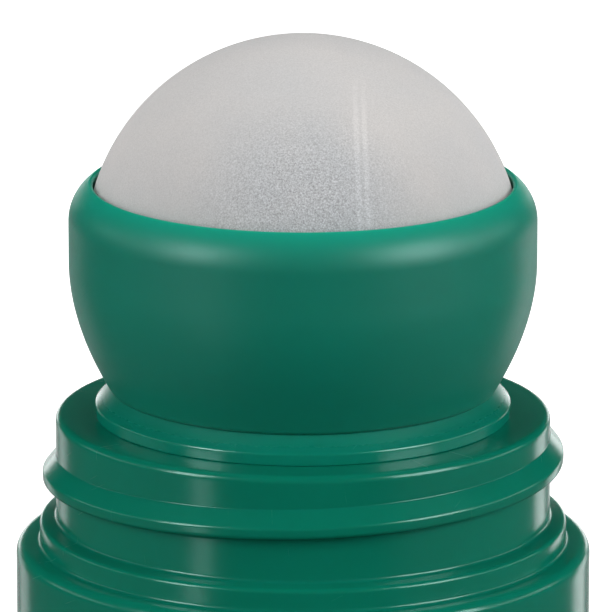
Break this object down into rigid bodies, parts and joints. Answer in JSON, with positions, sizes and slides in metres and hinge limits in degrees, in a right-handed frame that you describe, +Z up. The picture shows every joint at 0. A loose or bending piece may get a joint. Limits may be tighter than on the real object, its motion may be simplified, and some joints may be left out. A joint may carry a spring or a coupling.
{
  "type": "roll-on bottle",
  "caption": "Threaded plastic bottle with a free-rolling frosted ball held in a snap-in housing, for spreading a liquid on skin.",
  "frame": {"origin": "centre of the base, on the surface that the bottle stands on", "axes": "+Z up along the bottle's axis towards the ball, -Y towards the viewer of the picture"},
  "size_m": [0.047, 0.047, 0.1],
  "materials": {
    "bottle_green": "semi-gloss moulded polypropylene",
    "housing_green": "semi-gloss moulded polypropylene",
    "ball_frosted": "finely ground, frosted natural polypropylene"
  },
  "bodies": {
    "bottle_body": {"bottle": "bottle_green", "ball_housing": "housing_green"},
    "rolling_ball": {"ball": "ball_frosted"}
  },
  "joints": [
    {"name": "ball_roll", "type": "hinge", "parent": "bottle_body", "child": "rolling_ball", "pos_m": [0, 0, 0.08227], "axis": [1, 0, 0], "continuous": true}
  ]
}
